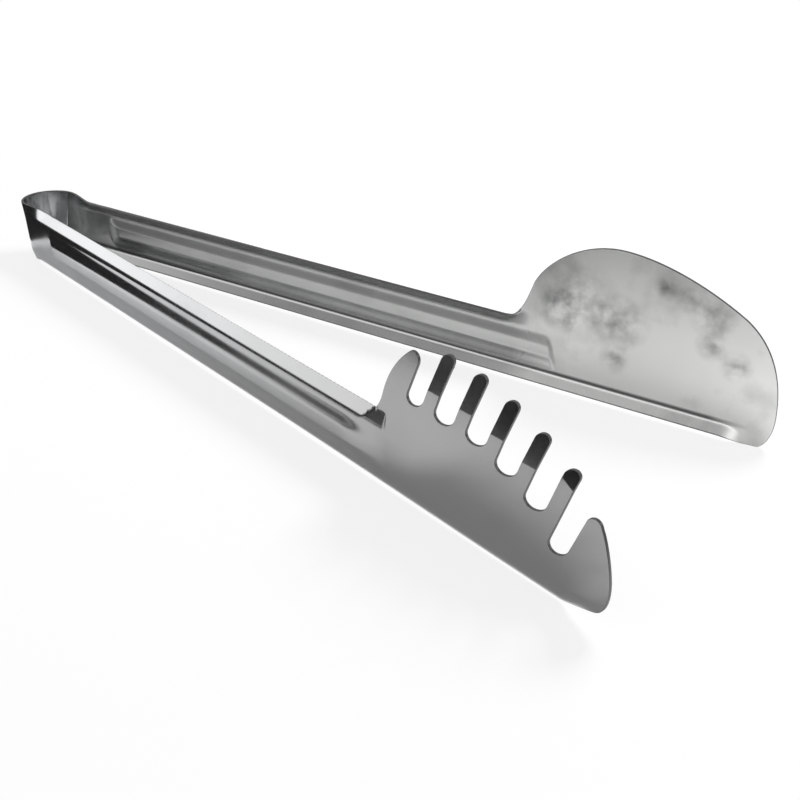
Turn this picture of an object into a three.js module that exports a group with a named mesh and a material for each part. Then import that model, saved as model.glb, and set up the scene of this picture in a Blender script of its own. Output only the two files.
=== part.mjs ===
// Salad tongs made of one strip of stainless sheet, blanked, pressed and bent.
// Millimetres, +Z up. X runs from the closed end to the tips, and the two arms part along Y.
// The strip is modelled in its three stretches: the spring bow and the two arms that it carries.
// Each arm is drawn as a flat blank, scored where it folds, and then pressed into its channel.
import * as THREE from 'three';

// The sheet and its plain strip
const sheet = 0.8;
const stripWidth = 20.7;
const curveSteps = 8;

// The turned-in lips, one along each edge of the strip, with the stations where each folds in
const lipWidth = 3.85;
const topLipAngle = THREE.MathUtils.degToRad(39);
const lowLipAngle = THREE.MathUtils.degToRad(45);
const topLipStart = 6;
const topLipFull = 17.5;
const lowLipStart = 2;
const lowLipFull = 10.5;
const lipSteps = 4;

// The raised panel between two flat lands, with the run and the slant of the slope at each end
const landWidth = 1.4;
const panelDepth = 1.5;
const panelSlopeWidth = 2.4;
const panelStart = 23;
const panelStartRun = 3.9;
const panelStartSlant = 0.2;
const panelEnd = 188.8;
const panelEndRun = 2.6;
const panelEndSlant = 0.4;

// Where the arms lie in plan: each outer face starts at the root gap and leans outward
const armAngle = THREE.MathUtils.degToRad(9.05);
const rootHalfGap = 8.6;
const armRoot = 5.3;

// The bow: a round band, drawn in along its bottom edge, that meets each arm at a slight shoulder
const bowRadius = 10.5;
const bowCentre = 9.4;
const bowPinch = 3.2;
const shoulderStation = 4.3;
const shoulderRun = 1;
const bowSteps = 26;
const bowRows = 2;

// The paddle: a leaf on a short neck, high near the neck and low at the tip
const paddleNeckSetback = 14;
const paddleNeckRun = 3.2;
const paddleLength = 72.7;
const paddleHeight = 45;
const paddleLipSetback = 3.7;
const paddleLipFade = 10;
const paddleTopFadeDelay = 1.5;

// The comb: a small lobe at the neck, bent fingers with round slots between them, and a larger lobe
const combNeckSetback = 7.3;
const combNeckRun = 5;
const nearLobeWidth = 7.9;
const farLobeWidth = 6.4;
const farLobeReach = 12.8;
const combHeight = 40.2;
const combLipSetback = 14.3;
const combLipFade = 8.5;
const combTopFadeLead = 4.5;
const topFade = 9;
const fingerCount = 5;
const fingerPitch = 9.75;
const fingerWidth = 3.8;
const fingerLean = 0.305;
const leanHeight = 29.7;
const endSlotWidth = 5.1;
const slotRoundHeight = 2.4;
const fingerBend = THREE.MathUtils.degToRad(5);
const fingerTipHeights = [42.7, 42, 39.9, 36.5, 32.8];
const slotFloorHeights = [27.4, 26.8, 26.3, 23.3, 19.4, 12.4];
const creaseDrops = [9.7, 9.3, 9, 8, 3.5];
const lastCreaseSlope = -0.55;

// Stations along the arms, each counted from the one that carries it
const paddleNeck = panelEnd - paddleNeckSetback;
const paddleShoulder = paddleNeck + paddleNeckRun;
const paddleTip = paddleShoulder + paddleLength;
const paddleLipEnd = paddleTip - paddleLipSetback;
const combNeck = panelEnd - combNeckSetback;
const combShoulder = combNeck + combNeckRun;
const firstFinger = combShoulder + nearLobeWidth + endSlotWidth + fingerWidth / 2;
const lastFinger = firstFinger + (fingerCount - 1) * fingerPitch;
const combTip = lastFinger + fingerWidth / 2 + endSlotWidth + farLobeWidth;
const combLipEnd = combTip - combLipSetback;

// Points of the blank closer than this are one point, and stations of its grid are never closer
const snap = 0.02;
const stationGap = 0.5;

const foldBottom = lipWidth;
const foldTop = stripWidth - lipWidth;
const bladeStart = panelEnd + slantShift(panelEndSlant, foldBottom) + stationGap;

// A flat blank: its points, with the station s as x and the height z as y, and its triangles
function addPanel(blank, outline) {
  const indices = outline.map((corner) => {
    const known = blank.points.findIndex((point) => point.distanceTo(corner) < snap);
    return known < 0 ? blank.points.push(corner) - 1 : known;
  });
  const faces = THREE.ShapeUtils.triangulateShape(outline.slice(), []);
  blank.triangles.push(...faces.map((face) => face.map((corner) => indices[corner])));
}

// The points of a path, with its round stretches in short steps
function trace(...steps) {
  const path = new THREE.Path();
  for (const [kind, ...values] of steps) {
    path[kind](...values);
  }
  return path.getPoints(curveSteps);
}

// The height of an edge of the blank at a station
function edgeHeight(edge, s) {
  const next = edge.findIndex((point) => point.x >= s - snap);
  if (next <= 0) {
    return edge.at(next).y;
  }
  const share = (s - edge[next - 1].x) / (edge[next].x - edge[next - 1].x);
  return THREE.MathUtils.lerp(edge[next - 1].y, edge[next].y, Math.min(share, 1));
}

// Stations in order: all the fixed ones, and those of the curved edges that keep clear of them
function orderStations(fixed, curved, from, to) {
  const stations = fixed.filter((s) => s >= from && s <= to);
  for (const s of curved) {
    if (s > from && s < to && stations.every((other) => Math.abs(other - s) > stationGap)) {
      stations.push(s);
    }
  }
  return stations.sort((a, b) => a - b);
}

function steps(from, to, count) {
  return Array.from({ length: count + 1 }, (_, step) => THREE.MathUtils.lerp(from, to, step / count));
}

// How far a slanted end of the panel has run along the arm at a height
function slantShift(slant, z) {
  return slant * (stripWidth / 2 - z);
}

// Lays out an arm's blank: a grid over the pressed strip, a lip under the blade, and the blade's panels
function layOutArm({ fades, bottomEdge, neckEdge, blades }) {
  const blank = { points: [], triangles: [] };
  const point = (s, z) => new THREE.Vector2(s, z);
  const panelStations = [panelStart, panelStart + panelStartRun, panelEnd - panelEndRun, panelEnd];
  const panelSlants = [panelStartSlant, panelStartSlant, panelEndSlant, panelEndSlant];
  const fadeStations = fades.flatMap((fade) => steps(...fade, lipSteps));
  const rootStations = steps(armRoot, lowLipFull, lipSteps);
  const fixed = [armRoot, ...steps(topLipStart, topLipFull, lipSteps), ...panelStations, bladeStart];
  const slantReach = slantShift(panelEndSlant, foldBottom) + stationGap;
  const curved = [...rootStations, ...fadeStations, ...neckEdge.map((corner) => corner.x)]
    .filter((s) => s < panelEnd - panelEndRun - slantReach);
  const stations = orderStations(fixed, curved, armRoot, bladeStart);
  const lowLand = foldBottom + landWidth;
  const highLand = foldTop - landWidth;
  const rowsAt = (s) => [
    0, foldBottom, lowLand, lowLand + panelSlopeWidth,
    highLand - panelSlopeWidth, highLand, foldTop, edgeHeight(neckEdge, s),
  ];
  const gridPoint = (s, z) => {
    const onPanel = panelStations.includes(s) && z >= lowLand && z <= highLand;
    return point(onPanel ? s + slantShift(panelSlants[panelStations.indexOf(s)], z) : s, z);
  };
  for (let column = 1; column < stations.length; column += 1) {
    const [left, right] = [stations[column - 1], stations[column]];
    const [leftRows, rightRows] = [rowsAt(left), rowsAt(right)];
    for (let row = 1; row < leftRows.length; row += 1) {
      const corners = [
        gridPoint(left, leftRows[row - 1]), gridPoint(right, rightRows[row - 1]),
        gridPoint(right, rightRows[row]), gridPoint(left, leftRows[row]),
      ];
      const isAtEnd = left >= panelEnd - panelEndRun;
      const isRising = row === (isAtEnd ? 5 : 3);
      const first = isRising ? 0 : 1;
      const turned = [0, 1, 2, 3].map((step) => corners[(first + step) % 4]);
      addPanel(blank, [turned[0], turned[1], turned[2]]);
      addPanel(blank, [turned[0], turned[2], turned[3]]);
    }
  }
  const lipEnd = bottomEdge.at(-1).x;
  const edgeStations = bottomEdge.map((corner) => corner.x);
  const lipCurved = [...fadeStations, ...edgeStations];
  const lipStations = orderStations([bladeStart, lipEnd], lipCurved, bladeStart, lipEnd);
  const foldLine = lipStations.map((s) => point(s, foldBottom));
  for (let step = 1; step < lipStations.length; step += 1) {
    const [left, right] = [lipStations[step - 1], lipStations[step]];
    addPanel(blank, [
      point(left, edgeHeight(bottomEdge, left)), point(right, edgeHeight(bottomEdge, right)),
      foldLine[step], foldLine[step - 1],
    ]);
  }
  const column = rowsAt(bladeStart).slice(1).reverse().map((z) => point(bladeStart, z));
  const [blade, ...ends] = blades;
  const beyond = neckEdge.filter((corner) => corner.x > bladeStart + stationGap).reverse();
  addPanel(blank, [...foldLine, bottomEdge.at(-1), ...blade, ...beyond, ...column.slice(0, -1)]);
  ends.forEach((end) => addPanel(blank, end));
  return blank;
}

// Presses a flat blank into sheet metal: outer and inner skins joined by the cut edge
function pressSheet(blank, outer, inner, flip) {
  const skins = [outer, inner].map((skin) => blank.points.map((point) => skin(point.x, point.y)));
  const positions = [];
  const addTriangle = (a, b, c) => {
    const corners = flip ? [a, c, b] : [a, b, c];
    corners.forEach((corner) => positions.push(corner.x, corner.y, corner.z));
  };
  const sides = ([a, b, c]) => [`${a} ${b}`, `${b} ${c}`, `${c} ${a}`];
  const directed = new Set(blank.triangles.flatMap(sides));
  for (const [a, b, c] of blank.triangles) {
    addTriangle(skins[0][a], skins[0][b], skins[0][c]);
    addTriangle(skins[1][a], skins[1][c], skins[1][b]);
    for (const [start, end] of [[a, b], [b, c], [c, a]]) {
      if (!directed.has(`${end} ${start}`)) {
        addTriangle(skins[0][start], skins[1][end], skins[0][end]);
        addTriangle(skins[0][start], skins[1][start], skins[1][end]);
      }
    }
  }
  const geometry = new THREE.BufferGeometry();
  geometry.setAttribute('position', new THREE.Float32BufferAttribute(positions, 3));
  geometry.computeVertexNormals();
  return geometry;
}

// 0 before the first value, 1 after the second, and smooth between them
function ease(value, from, to) {
  return THREE.MathUtils.smoothstep(value, from, to);
}

// How far the panel is pressed out at a point of the blank
function panelRise(s, z) {
  const fromLand = Math.min(z - foldBottom, foldTop - z) - landWidth;
  const share = Math.min(
    fromLand / panelSlopeWidth,
    (s - slantShift(panelStartSlant, z) - panelStart) / panelStartRun,
    (panelEnd - s + slantShift(panelEndSlant, z)) / panelEndRun,
    1,
  );
  return panelDepth * Math.max(share, 0);
}

// How far the strip is drawn in at its bottom edge where it nears the bow
function drawnIn(s, z) {
  return bowPinch * (1 - ease(s, lowLipStart, lowLipFull)) * (1 - z / stripWidth);
}

// The section of the pressed strip: inset from its outer face and height, for either skin of the sheet
function pressedPoint(s, z, lean, isInner) {
  const bottomLean = lean.bottom(s);
  const topLean = lean.top(s);
  if (z < foldBottom + snap || z > foldTop - snap) {
    const isTop = z > foldTop - snap;
    const angle = isTop ? topLean : bottomLean;
    const fold = isTop ? foldTop : foldBottom;
    const side = isTop ? 1 : -1;
    const reach = Math.min(Math.abs(z - fold), lipWidth);
    const beyond = Math.abs(z - fold) - reach;
    const onFold = reach < snap;
    const isUpright = onFold || beyond > snap;
    const depth = isUpright ? sheet : sheet * Math.cos(angle);
    const drop = isUpright ? sheet * Math.tan(angle / 2) : sheet * Math.sin(angle);
    return {
      inset: drawnIn(s, z) + reach * Math.sin(angle) + (isInner ? depth : 0),
      height: fold + side * (reach * Math.cos(angle) + beyond - (isInner ? drop : 0)),
    };
  }
  return { inset: drawnIn(s, z) + (isInner ? sheet : 0) - panelRise(s, z), height: z };
}

// Places a point of an arm's section in space: arm -1 lies on the -Y side and arm 1 on the +Y side
function placeOnArm(arm, s, inset, height) {
  return new THREE.Vector3(
    s * Math.cos(armAngle) + inset * Math.sin(armAngle),
    arm * (rootHalfGap + s * Math.sin(armAngle) - inset * Math.cos(armAngle)),
    height,
  );
}

// How far each lip is turned in along the strip, with the stations where it fades out on the blade
function lipLean(topFadeOut, lowFadeOut) {
  return {
    top: (s) => topLipAngle * ease(s, topLipStart, topLipFull) * (1 - ease(s, ...topFadeOut)),
    bottom: (s) => lowLipAngle * ease(s, lowLipStart, lowLipFull) * (1 - ease(s, ...lowFadeOut)),
  };
}

// The paddle: its lower edge, the edge of its neck, and the leaf between them
function paddleEdges() {
  const length = paddleTip - paddleShoulder;
  const at = (sShare, zShare) => [paddleShoulder + sShare * length, zShare * paddleHeight];
  const neckEdge = trace(
    ['moveTo', armRoot, stripWidth],
    ['lineTo', paddleNeck, stripWidth],
    ['bezierCurveTo', ...at(-0.005, stripWidth / paddleHeight), ...at(0.008, 0.545), ...at(0.03, 0.675)],
    ['bezierCurveTo', ...at(0.066, 0.825), ...at(0.2, 1), ...at(0.355, 1)],
  );
  const leaf = trace(
    ['moveTo', paddleLipEnd, 0],
    ['bezierCurveTo', ...at(0.975, 0), ...at(1, 0.07), ...at(1, 0.18)],
    ['bezierCurveTo', ...at(0.995, 0.4), ...at(0.955, 0.63), ...at(0.83, 0.76)],
    ['bezierCurveTo', ...at(0.67, 0.91), ...at(0.49, 1), ...at(0.355, 1)],
  );
  const bottomEdge = trace(['moveTo', armRoot, 0], ['lineTo', paddleLipEnd, 0]);
  return { bottomEdge, neckEdge, blades: [leaf.slice(1, -1)] };
}

// Where the middle line of a finger or slot runs: number 1 is the first finger, and halves are slots
function combLine(number, z) {
  return firstFinger + (number - 1) * fingerPitch + fingerLean * (z - leanHeight);
}

// The crease where the end of a finger is bent inward, at a station
function creaseHeight(finger, s) {
  const middle = fingerTipHeights[finger - 1] - creaseDrops[finger - 1];
  const slope = finger === fingerCount ? lastCreaseSlope : 0;
  return middle + slope * (s - combLine(finger, middle));
}

// The two ends of a finger's crease, on its tip side and its neck side
function creaseEnds(finger) {
  const middle = fingerTipHeights[finger - 1] - creaseDrops[finger - 1];
  return [1, -1].map((side) => {
    const s = combLine(finger, middle) + side * fingerWidth / 2;
    const z = creaseHeight(finger, s);
    return new THREE.Vector2(combLine(finger, z) + side * fingerWidth / 2, z);
  });
}

// One rounded slot, from the finger or lobe on its tip side to the one on its neck side
function slotEdge(slot) {
  const innerHalf = (fingerPitch - fingerWidth) / 2;
  const tipSide = slot === fingerCount ? endSlotWidth - innerHalf : innerHalf;
  const neckSide = slot === 0 ? endSlotWidth - innerHalf : innerHalf;
  const floor = slotFloorHeights[slot];
  const roundTop = floor + slotRoundHeight;
  const number = slot + 0.5;
  const lowest = combLine(number, roundTop) + (tipSide - neckSide) / 2;
  const neckEnd = combLine(number, roundTop) - neckSide;
  return trace(
    ['moveTo', combLine(number, roundTop) + tipSide, roundTop],
    ['quadraticCurveTo', combLine(number, floor) + tipSide, floor, lowest, floor],
    ['quadraticCurveTo', combLine(number, floor) - neckSide, floor, neckEnd, roundTop],
  );
}

// The bent end of one finger beyond its crease, with its round tip
function fingerEnd(finger) {
  const [tipSide, neckSide] = creaseEnds(finger);
  const half = fingerWidth / 2;
  const tip = fingerTipHeights[finger - 1];
  const neckEnd = tip - half;
  const shoulder = Math.max(neckEnd, tipSide.y + snap);
  return trace(
    ['moveTo', tipSide.x, tipSide.y],
    ['lineTo', combLine(finger, shoulder) + half, shoulder],
    ['quadraticCurveTo', combLine(finger, tip) + half, tip, combLine(finger, tip), tip],
    ['quadraticCurveTo', combLine(finger, tip) - half, tip, combLine(finger, neckEnd) - half, neckEnd],
    ['lineTo', neckSide.x, neckSide.y],
  );
}

// The comb: its lower edge, the edge of its neck, and the blade between them with its bent finger ends
function combEdges() {
  const nearAt = (sShare, zShare) => [combShoulder + sShare * nearLobeWidth, zShare * combHeight];
  const farAt = (sShare, zShare) => [combTip - (1 - sShare) * farLobeReach, zShare * combHeight];
  const bandShare = stripWidth / combHeight;
  const neckEdge = trace(
    ['moveTo', armRoot, stripWidth],
    ['lineTo', combNeck, stripWidth],
    ['bezierCurveTo', ...nearAt(-0.25, bandShare), ...nearAt(-0.1, 0.577), ...nearAt(0, 0.667)],
    ['bezierCurveTo', ...nearAt(0.15, 0.8), ...nearAt(0.54, 0.92), ...nearAt(1.02, 1)],
  );
  const nearLobe = trace(
    ['moveTo', ...nearAt(1.35, 0.94)],
    ['bezierCurveTo', ...nearAt(1.41, 0.99), ...nearAt(1.19, 1.02), ...nearAt(1.02, 1)],
  );
  const farLobe = trace(
    ['moveTo', ...farAt(0, 0.074)],
    ['bezierCurveTo', ...farAt(0.316, 0.085), ...farAt(0.632, 0.095), ...farAt(0.79, 0.12)],
    ['bezierCurveTo', ...farAt(1, 0.15), ...farAt(1.026, 0.24), ...farAt(0.974, 0.33)],
    ['bezierCurveTo', ...farAt(0.921, 0.42), ...farAt(0.79, 0.54), ...farAt(0.685, 0.59)],
    ['bezierCurveTo', ...farAt(0.632, 0.64), ...farAt(0.474, 0.635), ...farAt(0.395, 0.6)],
  );
  const bottomEdge = trace(
    ['moveTo', armRoot, 0],
    ['lineTo', combLipEnd - combLipFade, 0],
    ['bezierCurveTo', ...farAt(-0.526, 0), ...farAt(-0.368, 0.066), ...farAt(0, 0.074)],
  );
  const body = farLobe.slice(1);
  const ends = [];
  for (let slot = fingerCount; slot >= 0; slot -= 1) {
    body.push(...slotEdge(slot));
    if (slot > 0) {
      body.push(...creaseEnds(slot));
      ends.push(fingerEnd(slot));
    }
  }
  body.push(...nearLobe.slice(0, -1));
  return { bottomEdge, neckEdge, blades: [body, ...ends] };
}

// How far a point of the comb is bent inward with the end of its finger
function bendFinger(s, z) {
  const finger = Math.round((s - combLine(1, z)) / fingerPitch) + 1;
  const isFinger = finger >= 1 && finger <= fingerCount;
  const onFinger = isFinger && Math.abs(s - combLine(finger, z)) <= fingerWidth / 2 + snap;
  return onFinger ? Math.max(z - creaseHeight(finger, s), 0) * Math.tan(fingerBend) : 0;
}

function material(name, color, roughness) {
  return new THREE.MeshStandardMaterial({ name, color, roughness, metalness: 1 });
}

// One arm, pressed from its blank: arm -1 carries the comb and arm 1 the paddle
function pressArm(name, arm, edges, fades, bend, finish) {
  const lean = lipLean(...fades);
  const skin = (isInner) => (s, z) => {
    const { inset, height } = pressedPoint(s, z, lean, isInner);
    return placeOnArm(arm, s, inset + bend(s, z), height);
  };
  const blank = layOutArm({ fades, ...edges });
  const mesh = new THREE.Mesh(pressSheet(blank, skin(false), skin(true), arm > 0), finish);
  mesh.name = name;
  return mesh;
}

function combArm() {
  const fadeStart = combNeck - combTopFadeLead;
  const fades = [[fadeStart, fadeStart + topFade], [combLipEnd - combLipFade, combLipEnd]];
  const finish = material('comb_steel', 0xb4b7ba, 0.3);
  return pressArm('comb_arm', -1, combEdges(), fades, bendFinger, finish);
}

function paddleArm() {
  const fadeStart = paddleNeck + paddleTopFadeDelay;
  const fades = [[fadeStart, fadeStart + topFade], [paddleLipEnd - paddleLipFade, paddleLipEnd]];
  const finish = material('paddle_steel', 0xbabcba, 0.4);
  return pressArm('paddle_arm', 1, paddleEdges(), fades, () => 0, finish);
}

// The bow in plan, along its outer face from the comb arm's root to the paddle arm's root
function bowPlan() {
  const onFace = (arm, s) => placeOnArm(arm, s, 0, 0);
  const corner = onFace(1, shoulderStation);
  const sweep = Math.PI - Math.atan2(corner.y, corner.x - bowCentre);
  const inset = shoulderRun / bowRadius;
  const plan = new THREE.Path();
  const onBack = (angle) => [bowCentre - bowRadius * Math.cos(angle), bowRadius * Math.sin(angle)];
  const [combEnd, paddleEnd] = [onFace(-1, armRoot), onFace(1, armRoot)];
  plan.moveTo(combEnd.x, combEnd.y);
  plan.quadraticCurveTo(corner.x, -corner.y, ...onBack(inset - sweep));
  plan.absarc(bowCentre, 0, bowRadius, Math.PI + sweep - inset, Math.PI - sweep + inset, true);
  plan.quadraticCurveTo(corner.x, corner.y, paddleEnd.x, paddleEnd.y);
  return plan;
}

// The bow: the strip between the two roots, bent round in plan and drawn in along its bottom edge
function springBow() {
  const plan = bowPlan();
  const length = plan.getLength();
  const columns = steps(0, length, bowSteps);
  const rows = [0, ...steps(foldBottom, stripWidth, bowRows)];
  const blank = { points: [], triangles: [] };
  for (let column = 1; column < columns.length; column += 1) {
    const [left, right] = [columns[column - 1], columns[column]];
    for (let row = 1; row < rows.length; row += 1) {
      const corners = [[left, rows[row - 1]], [right, rows[row - 1]], [right, rows[row]], [left, rows[row]]];
      addPanel(blank, corners.map((corner) => new THREE.Vector2(...corner)));
    }
  }
  const lean = lipLean([panelStart, panelEnd], [panelStart, panelEnd]);
  const skin = (isInner) => (along, z) => {
    const station = armRoot - Math.min(along, length - along);
    const { inset, height } = pressedPoint(station, z, lean, isInner);
    if (station > armRoot - snap) {
      return placeOnArm(along > length / 2 ? 1 : -1, armRoot, inset, height);
    }
    const point = plan.getPointAt(along / length);
    const tangent = plan.getTangentAt(along / length);
    return new THREE.Vector3(point.x + inset * tangent.y, point.y - inset * tangent.x, height);
  };
  const finish = material('bow_steel', 0xb0b3b6, 0.28);
  const mesh = new THREE.Mesh(pressSheet(blank, skin(false), skin(true), true), finish);
  mesh.name = 'spring_bow';
  return mesh;
}

// The origin lies under the middle of the tongs, on the surface that they stand on
const tongs = new THREE.Group();
tongs.add(springBow(), combArm(), paddleArm());
const middle = new THREE.Box3().setFromObject(tongs).getCenter(new THREE.Vector3());
tongs.position.set(-middle.x, -middle.y, 0);

export default tongs;
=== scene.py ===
# The looks of the salad tongs: each stretch of the strip is pressed again from a fine flat blank,
# with rounded folds, and gets its steel. Lengths are in millimetres until a mesh is made. On a blank,
# s is the distance along the arm and z the height above the strip's bottom edge.
import math

import bpy
from mathutils import Matrix, Vector, kdtree
from mathutils.geometry import delaunay_2d_cdt


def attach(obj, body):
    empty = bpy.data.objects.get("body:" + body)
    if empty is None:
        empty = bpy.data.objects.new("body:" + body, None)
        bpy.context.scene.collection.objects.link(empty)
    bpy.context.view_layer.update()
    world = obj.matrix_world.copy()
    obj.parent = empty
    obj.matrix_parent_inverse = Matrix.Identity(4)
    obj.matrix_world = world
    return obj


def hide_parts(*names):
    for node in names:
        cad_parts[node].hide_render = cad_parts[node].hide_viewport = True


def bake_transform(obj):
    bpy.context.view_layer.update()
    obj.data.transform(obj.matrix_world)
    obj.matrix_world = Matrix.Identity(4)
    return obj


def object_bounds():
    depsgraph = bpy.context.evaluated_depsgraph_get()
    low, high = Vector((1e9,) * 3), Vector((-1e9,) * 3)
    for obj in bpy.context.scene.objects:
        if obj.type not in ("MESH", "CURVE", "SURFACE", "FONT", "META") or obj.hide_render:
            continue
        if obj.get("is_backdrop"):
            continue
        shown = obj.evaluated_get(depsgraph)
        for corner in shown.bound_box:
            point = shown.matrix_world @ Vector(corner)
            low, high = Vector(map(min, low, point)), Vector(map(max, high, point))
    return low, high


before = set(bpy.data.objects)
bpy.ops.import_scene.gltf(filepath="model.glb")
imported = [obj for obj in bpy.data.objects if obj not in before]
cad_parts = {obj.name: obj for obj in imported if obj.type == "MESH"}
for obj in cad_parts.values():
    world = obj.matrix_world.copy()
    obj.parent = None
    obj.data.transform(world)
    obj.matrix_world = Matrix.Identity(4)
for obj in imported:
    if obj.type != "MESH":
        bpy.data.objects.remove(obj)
cad_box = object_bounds()

METRES = 0.001

# The sheet and its plain strip
SHEET = 0.8
STRIP_WIDTH = 20.7

# The turned-in lips, one along each edge of the strip, with the stations where each folds in
TOP_LIP_WIDTH = 4.05
LOW_LIP_WIDTH = 3.85
TOP_LIP_ANGLE = math.radians(39)
LOW_LIP_ANGLE = math.radians(45)
LEAST_LIP_ANGLE = math.radians(0.05)
TOP_LIP_START = 6
TOP_LIP_FULL = 17.5
LOW_LIP_START = 2
LOW_LIP_FULL = 10.5
FOLD_BOTTOM = LOW_LIP_WIDTH
FOLD_TOP = STRIP_WIDTH - TOP_LIP_WIDTH

# How much sheet each rounded fold takes up, and the fold back to upright where a blade rises from a lip
TOP_FOLD_BEND = 2
COMB_LOW_FOLD_BEND = 5.5
PADDLE_LOW_FOLD_BEND = 2
UNFOLD_BEND = 1.2

# The comb's lower lip opens by a share of its angle between these two stations
LOW_OPENING = (140, 240)
COMB_OPENING_SHARE = 0.23

# The pocket beside each blade, between the two steps in which the top lip runs out
POCKET_TOP = (STRIP_WIDTH, 22)
POCKET_SLANT = 0.8
POCKET_REACH = 6.5
COMB_POCKET_LEAD = 0
COMB_POCKET_RUN = 1.4
PADDLE_POCKET_LEAD = 1
PADDLE_POCKET_RUN = 4.5

# The raised panel
LAND_WIDTH = 0.6
PANEL_DEPTH = 1.1
PANEL_SLOPE_WIDTH = 4.6
PANEL_START = 23
PANEL_START_RUN = 3.9
PANEL_START_SLANT = 0.2
PANEL_END = 188.8
PADDLE_PANEL_END_RUN = 2.6
COMB_PANEL_END_RUN = 16
PANEL_END_SLANT = 0.3

# Where the arms lie in plan, and where the frame's origin lies in the same plan
ARM_ANGLE = math.radians(9.05)
ROOT_HALF_GAP = 8.6
ARM_ROOT = 5.3
MIDDLE = (124.8125, -0.2405)

# The bow: a round band, drawn in along its bottom edge, that meets each arm at a slight shoulder
BOW_RADIUS = 10.5
BOW_CENTRE = 9.4
BOW_PINCH = 3.2
SHOULDER_STATION = 4.3
SHOULDER_RUN = 1.8
SHOULDER_LENGTH = 2 * SHOULDER_RUN

# The paddle: a leaf on a short neck, high near the neck and low at the tip
PADDLE_NECK_SETBACK = 14
PADDLE_NECK_RUN = 3.2
PADDLE_LENGTH = 72.7
PADDLE_HEIGHT = 45
PADDLE_TOP_FADE_LEAD = 4
PADDLE_TOP_FADE_REACH = 7
PADDLE_LIP_SETBACK = 3.7
PADDLE_LIP_FADE = 10

# The comb: a small lobe at the neck, bent fingers with round slots between them, and a larger lobe
COMB_NECK_SETBACK = 7.3
COMB_NECK_RUN = 5
NEAR_LOBE_WIDTH = 7.9
FAR_LOBE_WIDTH = 6.4
FAR_LOBE_REACH = 12.8
COMB_HEIGHT = 40.2
COMB_TOP_FADE_LEAD = 3
COMB_TOP_FADE_REACH = 4
COMB_LIP_FADE = 6
FINGER_COUNT = 5
FINGER_PITCH = 9.75
FINGER_WIDTH = 3.8
FINGER_LEAN = 0.305
LEAN_HEIGHT = 29.7
END_SLOT_WIDTH = 5.1
SLOT_ROUND_HEIGHT = 2.4
FINGER_TIP_HEIGHTS = [43.2, 42.5, 40.3, 36.9, 32.9]
SLOT_FLOOR_HEIGHTS = [27.4, 26.8, 26.3, 23.3, 19.4, 12.4]

# The fingers' creases, and how far to each side of its middle line a finger bends the sheet
FINGER_BEND = math.radians(5)
CREASE_HALF_WIDTH = 0.2
CREASE_DROPS = [10.2, 9.8, 9.4, 8.4, 3.6]
LAST_CREASE_SLOPE = -0.55
CREASE_POINT_SHARES = (0.25, 0.5, 0.75)
FINGER_SIDE_SHARE = 0.75

# Stations along the arms, each counted from the one that carries it
PADDLE_NECK = PANEL_END - PADDLE_NECK_SETBACK
PADDLE_SHOULDER = PADDLE_NECK + PADDLE_NECK_RUN
PADDLE_LIP_END = PADDLE_SHOULDER + PADDLE_LENGTH - PADDLE_LIP_SETBACK
COMB_NECK = PANEL_END - COMB_NECK_SETBACK
COMB_SHOULDER = COMB_NECK + COMB_NECK_RUN
FIRST_FINGER = COMB_SHOULDER + NEAR_LOBE_WIDTH + END_SLOT_WIDTH + FINGER_WIDTH / 2
COMB_TIP = (FIRST_FINGER + (FINGER_COUNT - 1) * FINGER_PITCH + FINGER_WIDTH / 2
            + END_SLOT_WIDTH + FAR_LOBE_WIDTH)

# How finely the blanks are laid out, and the small chamfer along every cut edge
EDGE_STEP = 0.5
STRAIGHT_STEP = 1.5
GRID_STEP = 1.5
FINE_STEP = 0.5
ROOT_STEP = 1
FOLD_STEP = 0.25
BOW_STEP = 0.3
PANEL_END_MARGIN = 3
EDGE_CLEARANCE = 0.35
CHAMFER = 0.13
NUDGE = 0.02
TINY = 0.00001
ROUND_STEPS = 14
HALF_TURN = [math.pi * number / ROUND_STEPS for number in range(ROUND_STEPS + 1)]

# The steels, each with its roughness and tone. A blade's own roughness and tone set in over its turn, which
# runs along X in the CAD frame. The blades' tones are painted: the comb's blade is darker than its arm as
# painted shade, and the paddle's blade is lighter than its arm as painted light
COMB_LOOK = {
    "colour": (0.6, 0.61, 0.62),
    "roughness": 0.15,
    "stain_share": 0.3,
    # The comb's blade is darker than its arm: painted shade.
    "blade": {"colour": (0.4, 0.405, 0.4), "roughness": 0.2, "turn": (-70, 62)},
}
PADDLE_LOOK = {
    "colour": (0.48, 0.49, 0.48),
    "roughness": 0.22,
    "stain_share": 0.4,
    # The paddle's blade is lighter than its arm: painted light.
    "blade": {"colour": (0.86, 0.87, 0.85), "roughness": 0.42, "turn": (48, 66)},
    # Stains and specks, with a painted shade line above the lower lip and painted light on the lip itself
    "stains_and_painted_light": True,
}
BOW_LOOK = {"colour": (0.62, 0.63, 0.64), "roughness": 0.18, "stain_share": 0.2}
# The cut edge: rougher, as sheared steel is, and dark as painted shade along every cut edge.
EDGE_LOOK = {"colour": (0.2, 0.2, 0.2), "roughness": 0.45, "stain_share": 0.3}

# The steel's noises, in waves per metre, with the limits between which each one shows
CLOUD_NOISE = {"Scale": 45, "Detail": 3}
CLOUD_SHARES = (0.3, 0.7)
STAIN_NOISE = {"Scale": 60, "Detail": 5}
STAIN_SHARES = (0.55, 0.75)
BLOTCH_NOISE = {"Scale": 220, "Detail": 8}
BLOTCH_SHARES = (0.35, 0.7)
LINE_NOISE = {"Scale": 500, "Detail": 2}
LINE_STRETCH = (0.02, 1, 1)
LINE_STRENGTH = 0.02
LINE_DEPTH = 0.2
EVEN_STRETCH = (1, 1, 1)
GLOSS_SPREAD = 0.04
STAIN_TONE_SHARE = 0.58

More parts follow.
